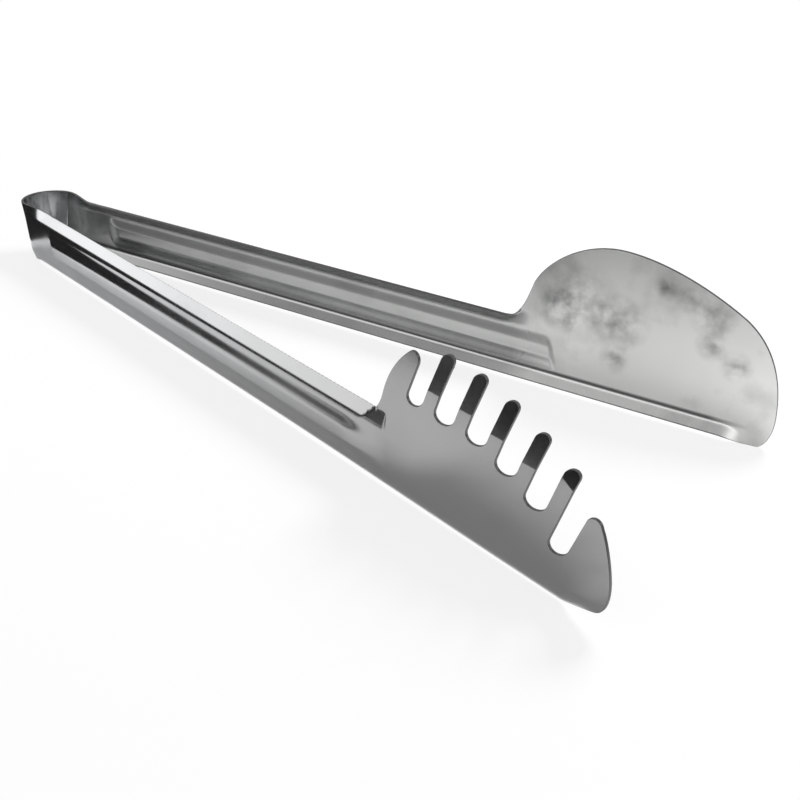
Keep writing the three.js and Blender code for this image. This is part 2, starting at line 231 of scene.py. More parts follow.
# The paddle arm's lower lip takes on part of its blade's roughness and, as painted light, part of its
# lighter tone: along X, and below a height
LIP_LIGHT_TURN = (-25, 60)
LIP_LIGHT_TOP = (3.2, 4.2)
LIP_LIGHT_SHARE = 0.6

# The painted shade line above that lip, where the panel's slope starts: the heights where it starts and
# ends, and its fade along X
PAINTED_SHADE_COLOUR = (0.15, 0.15, 0.15)
PAINTED_SHADE_START = (3.9, 4.3)
PAINTED_SHADE_END = (4.8, 5.5)
PAINTED_SHADE_FADE = (106, 117)

# The paddle's specks: a pattern of cells, of which a few get a dot
SPECK_SCALE = 130
SPECK_FLATTENING = (1, 0, 1)
SPECK_EDGE = (0.03, 0.09)
SPECK_CHANCE_SHARES = (0.6, 0.7)

# Where stains gather on the paddle: the station and height of each spot, and its radius
STAIN_SPOTS = [
    ((193, 28), 13),
    ((188, 25), 8),
    ((206, 25), 9),
    ((217, 38), 4),
    ((223, 36), 4),
    ((230, 33), 7),
    ((231, 25), 5),
    ((238, 21), 5),
    ((206, 14), 5),
]

# The table top and the cards that lie on it. The table is white by a share, and turns fully white from
# a share of its radius to its rim
TABLE_RADIUS = 240
TABLE_CORNERS = 96
TABLE_COLOUR = (0.85, 0.85, 0.85)
TABLE_ROUGHNESS = 0.9
TABLE_TURN_SHARE = 0.6
TABLE_WHITE_SHARE = 0.8
CARD_HEIGHT = 0.05
CARD_COLOUR = (0.02, 0.02, 0.02)
LEFT_CARD = ((-400, -300), (-138, 200))
FRONT_CARD = ((-50, -300), (250, -86))

# The room that shows in the steel: its brightness by height, and dimmer at the back than in front
ROOM_SHARES = ((0.23, 0.015), (0.29, 1), (0.6, 1), (0.75, 0.2), (1, 0.15))
ROOM_TURN = (0.1, -0.15)
ROOM_BACK_SHARE = 0.6
ROOM_STRENGTH = 1.5
BACKDROP_COLOUR = (1, 1, 1)

# The lamp, with its power in watts
LAMP_SPOT = (75, 335, 490)
LAMP_SIZE = 250
LAMP_POWER = 3.2

# The photograph's camera, as fitted to the arms' edges, with its angles in radians
CAMERA_SPOT = (192.04, -209.56, 142.31)
CAMERA_YAW = -0.636
CAMERA_PITCH = 0.475
CAMERA_ROLL = 0.064
CAMERA_SENSOR = 36
CAMERA_LENS = 48.74
CAMERA_SHIFT_SHARES = (-0.0051, -0.0285)
CAMERA_NEAREST = 10


def clamp(value):
    return min(max(value, 0), 1)


def ease(value, start, end):
    share = clamp((value - start) / (end - start))
    return share * share * (3 - 2 * share)


def around(station, lead, reach):
    """The stretch of an arm from a lead before a station to a reach past it."""
    return station - lead, station + reach


def steps(start, end, step):
    count = max(1, math.ceil(abs(end - start) / step))
    return [start + (end - start) * number / count for number in range(count + 1)]


def bezier_point(controls, share):
    """The point of a Bezier curve of any degree."""
    points = list(controls)
    while len(points) > 1:
        points = [first.lerp(second, share) for first, second in zip(points, points[1:])]
    return points[0]


def trace(start, *stretches):
    """A line of points through straight and curved stretches, each given by its control points."""
    line = [Vector(start)]
    for stretch in stretches:
        controls = [line[-1], *map(Vector, stretch)]
        reach = sum((second - first).length for first, second in zip(controls, controls[1:]))
        spacing = EDGE_STEP if len(controls) > 2 else STRAIGHT_STEP
        count = max(1, math.ceil(reach / spacing))
        line += [bezier_point(controls, number / count) for number in range(1, count + 1)]
    return line


def resample(line):
    """The same line with its long straight stretches in shorter steps."""
    points = [line[0]]
    for point in line[1:]:
        start = points[-1]
        count = max(1, math.ceil((point - start).length / STRAIGHT_STEP))
        points += [start.lerp(point, number / count) for number in range(1, count + 1)]
    return points


def slant_shift(slant, z):
    return slant * (STRIP_WIDTH / 2 - z)


def panel_rise(s, z, end_run):
    """How far the raised panel stands out of the strip, with rounded slopes."""
    from_land = min(z - FOLD_BOTTOM, FOLD_TOP - z) - LAND_WIDTH
    from_start = s - slant_shift(PANEL_START_SLANT, z) - PANEL_START
    from_end = PANEL_END - s + slant_shift(PANEL_END_SLANT, z)
    slopes = ((from_land, PANEL_SLOPE_WIDTH), (from_start, PANEL_START_RUN), (from_end, end_run))
    rise = PANEL_DEPTH
    for distance, run in slopes:
        rise *= ease(distance, 0, run)
    return rise


def drawn_in(s, z):
    """How far the strip is drawn in at its bottom edge where it nears the bow."""
    return BOW_PINCH * (1 - ease(s, LOW_LIP_START, LOW_LIP_FULL)) * (1 - z / STRIP_WIDTH)


def lip_left(s, z, pocket, run, fade):
    """How much of the top lip's lean is left where it runs out in two steps, with a pocket between."""
    start, end = pocket
    slanted = s + POCKET_SLANT * (STRIP_WIDTH - z)
    in_pocket = 1 - (ease(slanted, start, start + run) + ease(s, end - run, end)) / 2
    blade_share = ease(z, *POCKET_TOP)
    return (1 - blade_share) * in_pocket + blade_share * (1 - ease(s, *fade))


def lip_point(angle, bend, width, reach, unfolds):
    """Inset, height and lean of a lip at a reach past the start of its rounded fold."""
    if angle < LEAST_LIP_ANGLE:
        return 0, reach, 0
    radius = bend / angle
    lean = angle * clamp(reach / bend)
    inset = radius * (1 - math.cos(lean))
    height = radius * math.sin(lean)
    past = max(reach - bend, 0)
    flat = width - bend / 2
    straight = min(past, flat) if unfolds else past
    inset += straight * math.sin(angle)
    height += straight * math.cos(angle)
    turned = past - straight
    if turned > 0:
        radius = UNFOLD_BEND / angle
        lean = angle * (1 - clamp(turned / UNFOLD_BEND))
        inset += radius * (math.cos(lean) - math.cos(angle))
        height += radius * (math.sin(angle) - math.sin(lean)) + max(turned - UNFOLD_BEND, 0)
    return inset, height, lean


def finger_line(number, z):
    """Where the middle line of a finger runs: number 1 is the first, and halves are slots."""
    return FIRST_FINGER + (number - 1) * FINGER_PITCH + FINGER_LEAN * (z - LEAN_HEIGHT)


def crease_middle(finger):
    """The height of a finger's crease on its middle line."""
    return FINGER_TIP_HEIGHTS[finger - 1] - CREASE_DROPS[finger - 1]


def crease_height(finger, s):
    middle = crease_middle(finger)
    slope = LAST_CREASE_SLOPE if finger == FINGER_COUNT else 0
    return middle + slope * (s - finger_line(finger, middle))


def finger_bend(s, z):
    """How far the end of a finger is bent inward, with a narrow rounded crease."""
    finger = round((s - finger_line(1, z)) / FINGER_PITCH) + 1
    if not 1 <= finger <= FINGER_COUNT:
        return 0
    if abs(s - finger_line(finger, z)) > FINGER_WIDTH * FINGER_SIDE_SHARE:
        return 0
    past = z - crease_height(finger, s)
    if past < -CREASE_HALF_WIDTH:
        return 0
    if past < CREASE_HALF_WIDTH:
        past = (past + CREASE_HALF_WIDTH) ** 2 / (4 * CREASE_HALF_WIDTH)
    return past * math.tan(FINGER_BEND)


def strip_section(s, z, depth, arm):
    """The pressed strip's section: inset from its outer face and height, at a depth in the sheet."""
    top_left = lip_left(s, z, arm["pocket"], arm["pocket_run"], arm["top_fade"])
    top_angle = TOP_LIP_ANGLE * ease(s, TOP_LIP_START, TOP_LIP_FULL) * top_left
    low_angle = LOW_LIP_ANGLE * ease(s, LOW_LIP_START, LOW_LIP_FULL) * (1 - ease(s, *arm["low_fade"]))
    low_angle *= 1 - arm["low_opening_share"] * ease(s, *LOW_OPENING)
    top_start = FOLD_TOP - TOP_FOLD_BEND / 2
    low_start = FOLD_BOTTOM + arm["low_bend"] / 2
    inset = drawn_in(s, z) - panel_rise(s, z, arm["panel_end_run"])
    if z > top_start:
        lip, rise, lean = lip_point(top_angle, TOP_FOLD_BEND, TOP_LIP_WIDTH, z - top_start, True)
        inset += lip + depth * math.cos(lean)
        height = top_start + rise - depth * math.sin(lean)
    elif z < low_start:
        lip, rise, lean = lip_point(low_angle, arm["low_bend"], LOW_LIP_WIDTH, low_start - z, False)
        inset += lip + depth * math.cos(lean)
        height = low_start - rise + depth * math.sin(lean)
    else:
        inset += depth
        height = z
    if arm["has_fingers"]:
        inset += finger_bend(s, z)
    return inset, height


def in_frame(side, x, y, height):
    """A point of the plan in the CAD frame, in metres: side -1 has the comb and side 1 the paddle."""
    return Vector((x - MIDDLE[0], side * y - MIDDLE[1], height)) * METRES


def place_on_arm(side, s, inset, height):
    """A point of an arm in the CAD frame, at an inset from the arm's outer face."""
    x = s * math.cos(ARM_ANGLE) + inset * math.sin(ARM_ANGLE)
    y = ROOT_HALF_GAP + s * math.sin(ARM_ANGLE) - inset * math.cos(ARM_ANGLE)
    return in_frame(side, x, y, height)


def paddle_outline():
    """The paddle arm's outline, anticlockwise from the bottom of its root."""
    def at(s_share, z_share):
        return PADDLE_SHOULDER + s_share * PADDLE_LENGTH, z_share * PADDLE_HEIGHT

    return trace(
        (ARM_ROOT, 0),
        [(PADDLE_LIP_END, 0)],
        [at(0.975, 0), at(1, 0.07), at(1, 0.18)],
        [at(0.995, 0.4), at(0.955, 0.63), at(0.83, 0.76)],
        [at(0.67, 0.91), at(0.49, 1), at(0.355, 1)],
        [at(0.2, 1), at(0.066, 0.825), at(0.03, 0.675)],
        [at(0.008, 0.545), at(-0.005, STRIP_WIDTH / PADDLE_HEIGHT), (PADDLE_NECK, STRIP_WIDTH)],
        [(ARM_ROOT, STRIP_WIDTH)],
        [(ARM_ROOT, 0)],
    )[:-1]


def slot_outline(slot):
    """One slot's round floor, from the side towards the tip to the side towards the neck."""
    inner_half = (FINGER_PITCH - FINGER_WIDTH) / 2
    tip_side = END_SLOT_WIDTH - inner_half if slot == FINGER_COUNT else inner_half
    neck_side = END_SLOT_WIDTH - inner_half if slot == 0 else inner_half
    floor = SLOT_FLOOR_HEIGHTS[slot]
    half = (tip_side + neck_side) / 2
    points = []
    for turn in HALF_TURN:
        z = floor + SLOT_ROUND_HEIGHT * (1 - math.sin(turn))
        middle = finger_line(slot + 0.5, z) + (tip_side - neck_side) / 2
        points.append(Vector((middle + half * math.cos(turn), z)))
    return points


def finger_outline(finger):
    """One finger above the slots beside it: its side towards the tip, round end and side towards the neck.

    Each side has two points, where the finger's crease begins and where it ends.
    """
    half = FINGER_WIDTH / 2
    sides = []
    for side in (1, -1):
        crease = crease_height(finger, finger_line(finger, crease_middle(finger)) + side * half)
        heights = [crease - CREASE_HALF_WIDTH, crease + CREASE_HALF_WIDTH]
        sides.append([Vector((finger_line(finger, z) + side * half, z)) for z in heights])
    shoulder = FINGER_TIP_HEIGHTS[finger - 1] - half
    round_end = []
    for turn in HALF_TURN:
        z = shoulder + half * math.sin(turn)
        round_end.append(Vector((finger_line(finger, z) + half * math.cos(turn), z)))
    return sides[0], round_end, sides[1][::-1]


def comb_outline():
    """The comb arm's outline, and the lines across its fingers where their creases begin and end."""
    def near_at(s_share, z_share):
        return COMB_SHOULDER + s_share * NEAR_LOBE_WIDTH, z_share * COMB_HEIGHT

    def far_at(s_share, z_share):
        return COMB_TIP - (1 - s_share) * FAR_LOBE_REACH, z_share * COMB_HEIGHT

    line = trace(
        (ARM_ROOT, 0),
        [far_at(-0.05, 0)],
        [far_at(0.1, 0), far_at(0.15, 0.025), far_at(0.3, 0.045)],
        [far_at(0.45, 0.065), far_at(0.62, 0.085), far_at(0.79, 0.11)],
        [far_at(1, 0.14), far_at(1.026, 0.24), far_at(0.974, 0.33)],
        [far_at(0.921, 0.42), far_at(0.79, 0.54), far_at(0.685, 0.59)],
        [far_at(0.632, 0.64), far_at(0.474, 0.635), far_at(0.395, 0.6)],
    )
    creases = []
    for slot in range(FINGER_COUNT, -1, -1):
        line += slot_outline(slot)
        if slot > 0:
            tip_side, round_end, neck_side = finger_outline(slot)
            creases += zip(tip_side, neck_side[::-1])
            line += [*tip_side, *round_end, *neck_side]
    line += trace(
        near_at(1.35, 0.94),
        [near_at(1.41, 0.99), near_at(1.19, 1.02), near_at(1.02, 1)],
        [near_at(0.54, 0.92), near_at(0.15, 0.8), near_at(0, 0.667)],
        [near_at(-0.1, 0.577), near_at(-0.25, STRIP_WIDTH / COMB_HEIGHT), (COMB_NECK, STRIP_WIDTH)],
        [(ARM_ROOT, STRIP_WIDTH)],
        [(ARM_ROOT, 0)],
    )[:-1]
    return resample(line), creases


def strip_rows():
    """Heights of the blank's grid lines, close together over the folds and the panel's slopes."""
    slope_end = FOLD_BOTTOM + LAND_WIDTH + PANEL_SLOPE_WIDTH
    top_slope_end = FOLD_TOP - LAND_WIDTH - PANEL_SLOPE_WIDTH
    low_fold_end = FOLD_BOTTOM - COMB_LOW_FOLD_BEND / 2
    top_fold_end = FOLD_TOP + TOP_FOLD_BEND / 2
    return [
        *steps(low_fold_end, slope_end, FINE_STEP),
        *steps(slope_end, top_slope_end, GRID_STEP)[1:-1],
        *steps(top_slope_end, top_fold_end, FOLD_STEP),
        *steps(top_fold_end, STRIP_WIDTH, GRID_STEP)[1:-1],
    ]


def blank_grid(end, top):
    """Points inside an arm's blank: rows that follow the folds, and columns closer at its ends."""
    slope_end = PANEL_START + PANEL_START_RUN + GRID_STEP
    panel_end = PANEL_END + PANEL_END_MARGIN
    columns = [
        *steps(ARM_ROOT, PANEL_START - GRID_STEP, ROOT_STEP)[1:],
        *steps(PANEL_START, slope_end, FINE_STEP),
        *steps(slope_end, PADDLE_NECK, GRID_STEP)[1:],
        *steps(PADDLE_NECK, panel_end, FINE_STEP)[1:],
        *steps(panel_end, end, GRID_STEP)[1:],
    ]
    rows = [*strip_rows(), *steps(STRIP_WIDTH, top, GRID_STEP)]
    return [Vector((s, z)) for s in columns for z in rows]


def outward_normals(line):
    """The direction out of a closed line that runs anticlockwise, at each of its points."""
    normals = []
    for number, point in enumerate(line):
        following = line[(number + 1) % len(line)]
        along = (point - line[number - 1]).normalized() + (following - point).normalized()
        normals.append(Vector((along.y, -along.x)).normalized())
    return normals


def lay_out(line, grid, creases):
    """A flat blank inside its outline: its points, its triangles and which of the points are its rim.

    The rim keeps the outline's order, and each crease becomes a row of triangle sides.
    """
    def nearest(corner):
        return min(range(len(line)), key=lambda number: (line[number] - corner).length)

    points = list(line)
    edges = []
    for start, end in creases:
        inner = [start.lerp(end, share) for share in CREASE_POINT_SHARES]
        indices = [nearest(start), *range(len(points), len(points) + len(inner)), nearest(end)]
        points += inner
        edges += zip(indices, indices[1:])
    drawn = kdtree.KDTree(len(points))
    for number, point in enumerate(points):
        drawn.insert(point.to_3d(), number)
    drawn.balance()
    points += [point for point in grid if drawn.find(point.to_3d())[2] > EDGE_CLEARANCE]
    vertices, _, triangles, sources, _, within = delaunay_2d_cdt(
        points, edges, [list(range(len(line)))], 0, TINY, True)
    triangles = [triangle for triangle, outlines in zip(triangles, within) if outlines]
    used = sorted({corner for triangle in triangles for corner in triangle})
    order = {old: new for new, old in enumerate(used)}
    rim = [None] * len(line)
    for old in used:
        for source in sources[old]:
            if source < len(line):
                rim[source] = order[old]
    flat = [vertices[old] for old in used]
    return flat, [[order[corner] for corner in triangle] for triangle in triangles], rim


def add_to_scene(name, data):
    """Puts a mesh, a light or a camera into the scene as an object of its own."""
    added = bpy.data.objects.new(name, data)
    bpy.context.scene.collection.objects.link(added)
    return added


def press(name, flat, triangles, rim, place, is_closed, flip):
    """Makes one piece of pressed sheet: outer and inner skins, and a chamfered cut edge between them.

    A closed end, which meets the next piece, isn't chamfered: its corners are held back only up or down.
    On the paddle's side, which is the mirror image, the faces are turned over.
    """
    line = [flat[index] for index in rim]
    out = outward_normals(line)
    for number, point in enumerate(line):
        if is_closed(point):
            out[number] = Vector((0, round(out[number].y)))
    rim_numbers = {index: number for number, index in enumerate(rim)}
    vertices, normals = [], []

    def directions_at(s, z, depth):
        """The ways out of the sheet, along it and up it."""
        along = place(s + NUDGE, z, depth) - place(s - NUDGE, z, depth)
        up = place(s, z + NUDGE, depth) - place(s, z - NUDGE, depth)
        way_out = along.cross(up).normalized()
        return -way_out if flip else way_out, along.normalized(), up.normalized()

    for depth, facing in ((0, 1), (SHEET, -1)):
        for index, point in enumerate(flat):
            held_back = out[rim_numbers[index]] * CHAMFER if index in rim_numbers else Vector((0, 0))
            s, z = point - held_back
            vertices.append(place(s, z, depth))
            normals.append(directions_at(s, z, depth)[0] * facing)
    for depth in (CHAMFER, SHEET - CHAMFER):
        for number, point in enumerate(line):
            vertices.append(place(point.x, point.y, depth))
            _, along, up = directions_at(point.x, point.y, depth)
            side = out[number] if out[number].length > 0 else Vector((-1, 0))
            normals.append((along * side.x + up * side.y).normalized())
    count = len(flat)
    faces = [tuple(face) for face in triangles]
    faces += [tuple(count + corner for corner in reversed(face)) for face in triangles]
    first, second = 2 * count, 2 * count + len(rim)
    for number in range(len(rim)):
        following = (number + 1) % len(rim)
        here = [rim[number], first + number, second + number, count + rim[number]]
        there = [rim[following], first + following, second + following, count + rim[following]]
        for step in range(3):
            faces.append((here[step], here[step + 1], there[step + 1], there[step]))
    if flip:
        faces = [tuple(reversed(face)) for face in faces]
    mesh = bpy.data.meshes.new(name)
    mesh.from_pydata(vertices, [], faces)
    for number, polygon in enumerate(mesh.polygons):
        polygon.use_smooth = True
        # The cut edge's faces take the second material, whose dark tone is painted shade.
        polygon.material_index = int(number >= 2 * len(triangles))
    mesh.normals_split_custom_set_from_vertices(normals)
    return add_to_scene(name, mesh)


def arm_piece(name, arm):
    """One arm with its blade, from its root to its tip."""
    line, creases = arm["outline"]
    grid = blank_grid(max(point.x for point in line), max(point.y for point in line))
    flat, triangles, rim = lay_out(line, grid, creases)

    def place(s, z, depth):
        inset, height = strip_section(s, z, depth, arm)
        return place_on_arm(arm["side"], s, inset, height)

    def at_root(point):
        return point.x < ARM_ROOT + CHAMFER

    return press(name, flat, triangles, rim, place, at_root, arm["side"] > 0)


def on_outer_face(station):
    """A point of an arm's outer face in plan."""
    return Vector((station * math.cos(ARM_ANGLE), ROOT_HALF_GAP + station * math.sin(ARM_ANGLE)))


# Half the bow in plan: a round sweep from the bow's back, then the shoulder up to the arm's root
SHOULDER = on_outer_face(SHOULDER_STATION)
SWEEP = math.pi - math.atan2(SHOULDER.y, SHOULDER.x - BOW_CENTRE) - SHOULDER_RUN / BOW_RADIUS
SWEEP_LENGTH = BOW_RADIUS * SWEEP
HALF_BOW_LENGTH = SWEEP_LENGTH + SHOULDER_LENGTH


def bow_path(distance):
    """A point of the bow's outer face in plan and the way into the bow, at a distance from its back."""
    if distance <= SWEEP_LENGTH:
        turn = distance / BOW_RADIUS
        way_out = Vector((-math.cos(turn), math.sin(turn)))
        return Vector((BOW_CENTRE, 0)) + BOW_RADIUS * way_out, -way_out
    start = Vector((BOW_CENTRE - BOW_RADIUS * math.cos(SWEEP), BOW_RADIUS * math.sin(SWEEP)))
    end = on_outer_face(ARM_ROOT)
    share = clamp((distance - SWEEP_LENGTH) / SHOULDER_LENGTH)
    tangent = (SHOULDER - start).lerp(end - SHOULDER, share).normalized()
    return bezier_point([start, SHOULDER, end], share), Vector((tangent.y, -tangent.x))


def bow_half(name, arm):
    """Half the bow, from its back to an arm's root."""
    columns = steps(0, HALF_BOW_LENGTH, BOW_STEP)
    rows = [0, *strip_rows(), STRIP_WIDTH]
    flat = [Vector((distance, z)) for distance in columns for z in rows]
    count = len(rows)
    last = (len(columns) - 1) * count
    triangles = []
    for column in range(0, last, count):
        for here in range(column, column + count - 1):
            beside = here + count
            triangles += [[here, beside, beside + 1], [here, beside + 1, here + 1]]
    # The rim runs along the bottom, up at the root, back along the top and down at the bow's back
    rim = [
        *range(0, last, count),
        *range(last, last + count),
        *range(last - 1, 0, -count),
        *range(count - 2, 0, -1),
    ]

    def place(distance, z, depth):
        station = ARM_ROOT - (HALF_BOW_LENGTH - distance)
        inset, height = strip_section(station, z, depth, arm)
        point, inward = bow_path(distance)
        spot = point + inward * inset
        return in_frame(arm["side"], spot.x, spot.y, height)

    def at_an_end(point):
        return point.x < CHAMFER or point.x > HALF_BOW_LENGTH - CHAMFER

    return press(name, flat, triangles, rim, place, at_an_end, arm["side"] > 0)


class Nodes:
    """The nodes of a material or a world, with short calls for the ones used here."""

    def __init__(self, owner):
        owner.use_nodes = True
        self.nodes = owner.node_tree.nodes
        self.links = owner.node_tree.links

    def named(self, name):
        return self.nodes[name]

    def fill(self, node, inputs):
        """Sets each input to a value, or links it to another node's output."""
        for name, value in inputs.items():
            socket = node.inputs[name]
            if isinstance(value, bpy.types.NodeSocket):
                self.links.new(value, socket)
            elif socket.type == "RGBA":
                socket.default_value = (*value, 1)
            else:
                socket.default_value = value

    def add(self, kind, inputs=None):
        node = self.nodes.new(kind)
        self.fill(node, inputs or {})
        return node

    def place(self, kind):
        """Where a point of the surface lies: its Object or its Generated place."""
        return self.add("ShaderNodeTexCoord").outputs[kind]

    def noise(self, place, look, stretch=EVEN_STRETCH):
        stretched = self.add("ShaderNodeMapping", {"Vector": place, "Scale": stretch})
        return self.add("ShaderNodeTexNoise", {"Vector": stretched.outputs["Vector"], **look}).outputs["Fac"]

    def ramp(self, source, limits, low=0, high=1):
        """Goes evenly from low to high while the source goes through its limits."""
        start, end = limits
        inputs = {"Value": source, "From Min": start, "From Max": end, "To Min": low, "To Max": high}
        return self.add("ShaderNodeMapRange", inputs).outputs["Result"]

    def ramp_in_space(self, source, limits, low=0, high=1):
        """The same for a source in metres and limits in millimetres."""
        return self.ramp(source, [limit * METRES for limit in limits], low, high)

    def combine(self, operation, first, second):
        node = self.add("ShaderNodeMath", {0: first, 1: second})
        node.operation = operation
        node.use_clamp = True
        return node.outputs["Value"]

    def combine_vectors(self, operation, inputs):
        node = self.add("ShaderNodeVectorMath")
        node.operation = operation
        self.fill(node, inputs)
        return node

    def blend(self, share, first, second):
        """A colour between two, each of them a colour or another node's output."""
        node = self.add("ShaderNodeMix")
        node.data_type = "RGBA"
        self.fill(node, {"Factor": share, "A": first, "B": second})
        return node.outputs["Result"]

    def blend_shaders(self, share, first, second):
        return self.add("ShaderNodeMixShader", {"Fac": share, 1: first, 2: second}).outputs["Shader"]


def lip_painted_light_and_roughness(nodes, split):
    """How much of the blade's roughness and, as painted light, of its lighter tone the lower lip has."""
    along = nodes.ramp_in_space(split.outputs["X"], LIP_LIGHT_TURN, 0, LIP_LIGHT_SHARE)
    return nodes.combine("MULTIPLY", along, nodes.ramp_in_space(split.outputs["Z"], LIP_LIGHT_TOP, 1, 0))


def add_spots(nodes, place, stain):
    """Adds the spots where stains gather, each broken up by a fine noise."""
    blotches = nodes.ramp(nodes.noise(place, BLOTCH_NOISE), BLOTCH_SHARES)
    for (s, z), radius in STAIN_SPOTS:
        inputs = {0: place, 1: place_on_arm(1, s, SHEET, z)}
        distance = nodes.combine_vectors("DISTANCE", inputs).outputs["Value"]
        near = nodes.ramp_in_space(distance, (0, radius), 1, 0)
        stain = nodes.combine("ADD", stain, nodes.combine("MULTIPLY", near, blotches))
    return stain


def specks(nodes, place):
    """Small dots, in a few cells of a pattern that chance picks."""
    flat = nodes.add("ShaderNodeMapping", {"Vector": place, "Scale": SPECK_FLATTENING})
    cells = nodes.add("ShaderNodeTexVoronoi", {"Vector": flat.outputs["Vector"], "Scale": SPECK_SCALE})
    chance = nodes.add("ShaderNodeSeparateColor", {"Color": cells.outputs["Color"]})
    dots = nodes.ramp(cells.outputs["Distance"], SPECK_EDGE, 1, 0)
    return nodes.combine("MULTIPLY", dots, nodes.ramp(chance.outputs["Red"], SPECK_CHANCE_SHARES))


def painted_shade_line(nodes, split):
    """A painted shade line: dark, just above the lower lip, which fades out near the tip."""
    line = nodes.combine("MULTIPLY", nodes.ramp_in_space(split.outputs["Z"], PAINTED_SHADE_START),
                         nodes.ramp_in_space(split.outputs["Z"], PAINTED_SHADE_END, 1, 0))
    return nodes.combine("MULTIPLY", line, nodes.ramp_in_space(split.outputs["X"], PAINTED_SHADE_FADE, 1, 0))


def steel(name, colour, roughness, stain_share, blade=None, stains_and_painted_light=False):
    """Rolled stainless sheet: faint rolling lines along the strip, cloudy gloss and stains.

    A blade has a roughness of its own and a tone of its own, which is painted light or shade. A stained one
    also has spots and specks, a painted shade line above the lower lip, and a lower lip with part of the
    blade's roughness and, as painted light, part of its lighter tone.
    """
    material = bpy.data.materials.new(name)
    nodes = Nodes(material)
    place = nodes.place("Object")
    clouds = nodes.noise(place, CLOUD_NOISE)
    gloss = nodes.ramp(clouds, CLOUD_SHARES, roughness - GLOSS_SPREAD, roughness + GLOSS_SPREAD)
    stain = nodes.ramp(nodes.noise(place, STAIN_NOISE), STAIN_SHARES, 0, stain_share)
    tone = colour
    if blade:
        split = nodes.add("ShaderNodeSeparateXYZ", {"Vector": place})
        on_blade = nodes.ramp_in_space(split.outputs["X"], blade["turn"])
        turned = on_blade
        if stains_and_painted_light:
            # Painted light: the lower lip gets part of the blade's lighter tone, and part of its roughness.
            turned = nodes.combine("ADD", on_blade, lip_painted_light_and_roughness(nodes, split))
            stain = add_spots(nodes, place, stain)
            stain = nodes.combine("ADD", stain, nodes.combine("MULTIPLY", specks(nodes, place), on_blade))
        rougher = nodes.ramp(turned, (0, 1), 0, blade["roughness"] - roughness)
        gloss = nodes.combine("ADD", gloss, rougher)
        # The blade's tone is painted: darker on the comb as painted shade, lighter on the paddle as painted
        # light.
        tone = nodes.blend(turned, colour, blade["colour"])
    stained = tuple(STAIN_TONE_SHARE * channel for channel in colour)
    surface = nodes.blend(stain, tone, stained)
    if stains_and_painted_light:
        # Painted shade: a dark line painted just above the lower lip.
        surface = nodes.blend(painted_shade_line(nodes, split), surface, PAINTED_SHADE_COLOUR)
    lines = nodes.noise(place, LINE_NOISE, LINE_STRETCH)
    bump = nodes.add("ShaderNodeBump", {"Strength": LINE_STRENGTH, "Distance": LINE_DEPTH * METRES,
                                        "Height": lines})
    nodes.fill(nodes.named("Principled BSDF"), {
        "Metallic": 1,
        "Base Color": surface,
        "Roughness": gloss,
        "Normal": bump.outputs["Normal"],
    })
    return material


def matt(name, colour, roughness):
    """A material without any shine, and its nodes."""
    material = bpy.data.materials.new(name)
    nodes = Nodes(material)
    look = {"Base Color": colour, "Roughness": roughness, "Specular IOR Level": 0}
    nodes.fill(nodes.named("Principled BSDF"), look)
    return material, nodes


def flat_piece(name, corners):
    mesh = bpy.data.meshes.new(name)
    places = [Vector(corner) * METRES for corner in corners]
    mesh.from_pydata(places, [], [list(range(len(places)))])
    return add_to_scene(name, mesh)


def stage():
    """A round pale table top. It fades to plain white towards its rim, where the white room takes over."""
    turns = [math.tau * number / TABLE_CORNERS for number in range(TABLE_CORNERS)]
    rim = [(TABLE_RADIUS * math.cos(turn), TABLE_RADIUS * math.sin(turn), 0) for turn in turns]
    table = flat_piece("table_top", rim)
    table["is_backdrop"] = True
    material, nodes = matt("table_paper", TABLE_COLOUR, TABLE_ROUGHNESS)
    distance = nodes.combine_vectors("LENGTH", {0: nodes.place("Object")}).outputs["Value"]
    reach = (TABLE_TURN_SHARE * TABLE_RADIUS, TABLE_RADIUS)
    whiteness = nodes.ramp_in_space(distance, reach, TABLE_WHITE_SHARE, 1)
    seen = nodes.add("ShaderNodeLightPath").outputs["Is Camera Ray"]
    share = nodes.combine("MULTIPLY", seen, whiteness)
    paper = nodes.named("Principled BSDF").outputs["BSDF"]
    glow = nodes.add("ShaderNodeEmission").outputs["Emission"]
    surface = nodes.blend_shaders(share, paper, glow)
    nodes.fill(nodes.named("Material Output"), {"Surface": surface})
    table.data.materials.append(material)


def studio():
    """A dim room under one broad soft ceiling light, with a white backdrop that only the camera sees."""
    world = bpy.data.worlds.new("studio")
    bpy.context.scene.world = world
    nodes = Nodes(world)
    split = nodes.add("ShaderNodeSeparateXYZ", {"Vector": nodes.place("Generated")})
    ramp = nodes.add("ShaderNodeValToRGB", {"Fac": split.outputs["Z"]})
    stops = ramp.color_ramp.elements
    for number, (height, brightness) in enumerate(ROOM_SHARES):
        stop = stops[number] if number < len(stops) else stops.new(height)
        stop.position = height
        stop.color = (brightness, brightness, brightness, 1)
    front = nodes.ramp(split.outputs["Y"], ROOM_TURN, ROOM_BACK_SHARE, 1)
    tint = nodes.combine_vectors("SCALE", {0: ramp.outputs["Color"], "Scale": front})
    room = nodes.named("Background")
    nodes.fill(room, {"Color": tint.outputs["Vector"], "Strength": ROOM_STRENGTH})
    backdrop = nodes.add("ShaderNodeBackground", {"Color": BACKDROP_COLOUR})
    seen = nodes.add("ShaderNodeLightPath").outputs["Is Camera Ray"]
    surface = nodes.blend_shaders(seen, room.outputs["Background"], backdrop.outputs["Background"])
    nodes.fill(nodes.named("World Output"), {"Surface": surface})


def dark_card(name, corner, far_corner):
    """A dark card that lies on the table and shows only in the steel."""
    left, front = corner
    right, back = far_corner
    corners = [(left, front), (right, front), (right, back), (left, back)]
    card = flat_piece(name, [(x, y, CARD_HEIGHT) for x, y in corners])
    card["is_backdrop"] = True
    material, _ = matt(name, CARD_COLOUR, 1)
    card.data.materials.append(material)
    card.visible_camera = False
    card.visible_diffuse = False
    card.visible_shadow = False


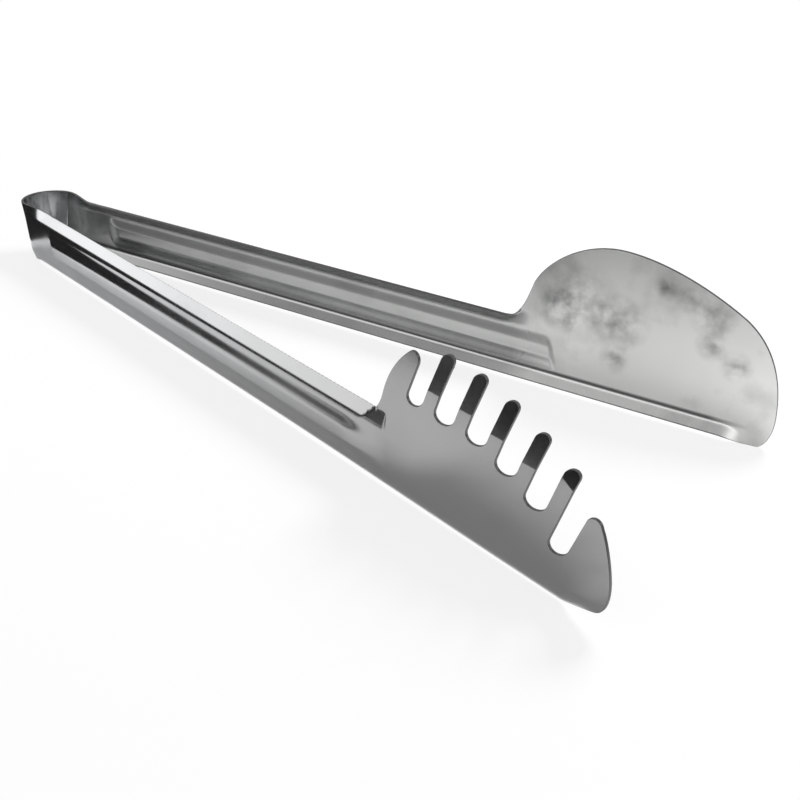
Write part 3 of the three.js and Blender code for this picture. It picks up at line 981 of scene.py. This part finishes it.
def lamp():
    """One soft lamp above and behind, so that the shadows fall towards the camera."""
    light = bpy.data.lights.new("soft_lamp", "AREA")
    light.shape = "DISK"
    light.size = LAMP_SIZE * METRES
    light.energy = LAMP_POWER
    holder = add_to_scene("soft_lamp", light)
    spot = Vector(LAMP_SPOT) * METRES
    holder.visible_glossy = False
    holder.matrix_world = Matrix.Translation(spot) @ spot.to_track_quat("Z", "Y").to_matrix().to_4x4()


def camera():
    """The photograph's viewpoint."""
    sine, cosine = math.sin(CAMERA_YAW), math.cos(CAMERA_YAW)
    ahead = Vector((math.cos(CAMERA_PITCH) * sine, math.cos(CAMERA_PITCH) * cosine, -math.sin(CAMERA_PITCH)))
    level = Vector((cosine, -sine, 0))
    over = level.cross(ahead)
    right = math.cos(CAMERA_ROLL) * level + math.sin(CAMERA_ROLL) * over
    up = math.cos(CAMERA_ROLL) * over - math.sin(CAMERA_ROLL) * level
    data = bpy.data.cameras.new("camera")
    data.sensor_width = CAMERA_SENSOR
    data.lens = CAMERA_LENS
    data.shift_x, data.shift_y = CAMERA_SHIFT_SHARES
    data.clip_start = CAMERA_NEAREST * METRES
    view = add_to_scene("camera", data)
    turn = Matrix((right, up, -ahead)).transposed().to_4x4()
    view.matrix_world = Matrix.Translation(Vector(CAMERA_SPOT) * METRES) @ turn
    bpy.context.scene.camera = view


camera()
studio()
stage()
lamp()
dark_card("left_card", *LEFT_CARD)
dark_card("front_card", *FRONT_CARD)

ARMS = {
    "comb": {
        "side": -1,
        "outline": comb_outline(),
        "pocket": around(COMB_NECK, COMB_POCKET_LEAD, POCKET_REACH),
        "pocket_run": COMB_POCKET_RUN,
        "top_fade": around(COMB_NECK, COMB_TOP_FADE_LEAD, COMB_TOP_FADE_REACH),
        "low_fade": around(COMB_TIP, COMB_LIP_FADE, 0),
        "low_bend": COMB_LOW_FOLD_BEND,
        "low_opening_share": COMB_OPENING_SHARE,
        "panel_end_run": COMB_PANEL_END_RUN,
        "has_fingers": True,
    },
    "paddle": {
        "side": 1,
        "outline": (paddle_outline(), []),
        "pocket": around(PADDLE_NECK, PADDLE_POCKET_LEAD, POCKET_REACH),
        "pocket_run": PADDLE_POCKET_RUN,
        "top_fade": around(PADDLE_NECK, PADDLE_TOP_FADE_LEAD, PADDLE_TOP_FADE_REACH),
        "low_fade": around(PADDLE_LIP_END, PADDLE_LIP_FADE, 0),
        "low_bend": PADDLE_LOW_FOLD_BEND,
        "low_opening_share": 0,
        "panel_end_run": PADDLE_PANEL_END_RUN,
        "has_fingers": False,
    },
}
FINISHES = {
    "comb": steel("comb_steel_with_painted_shade", **COMB_LOOK),
    "paddle": steel("paddle_steel_stains_and_painted_light", **PADDLE_LOOK),
    "bow": steel("bow_steel_finish", **BOW_LOOK),
    "edge": steel("sheared_edge_with_painted_shade", **EDGE_LOOK),
}

# Each arm with its blade, and the half of the bow that leads to it
for name, arm in ARMS.items():
    blade = arm_piece(name + "_side", arm)
    blade.data.materials.append(FINISHES[name])
    blade.data.materials.append(FINISHES["edge"])
    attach(blade, name)
    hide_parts(name + "_arm")
    half = bow_half("bow_" + name + "_half", arm)
    half.data.materials.append(FINISHES["bow"])
    half.data.materials.append(FINISHES["edge"])
    root = place_on_arm(arm["side"], ARM_ROOT, SHEET / 2, STRIP_WIDTH / 2)
    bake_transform(half)
    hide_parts("spring_bow")

scene = bpy.context.scene
scene.view_settings.view_transform = "Standard"
shown_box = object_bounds()
[[list(corner) for corner in box] for box in (cad_box, shown_box)]
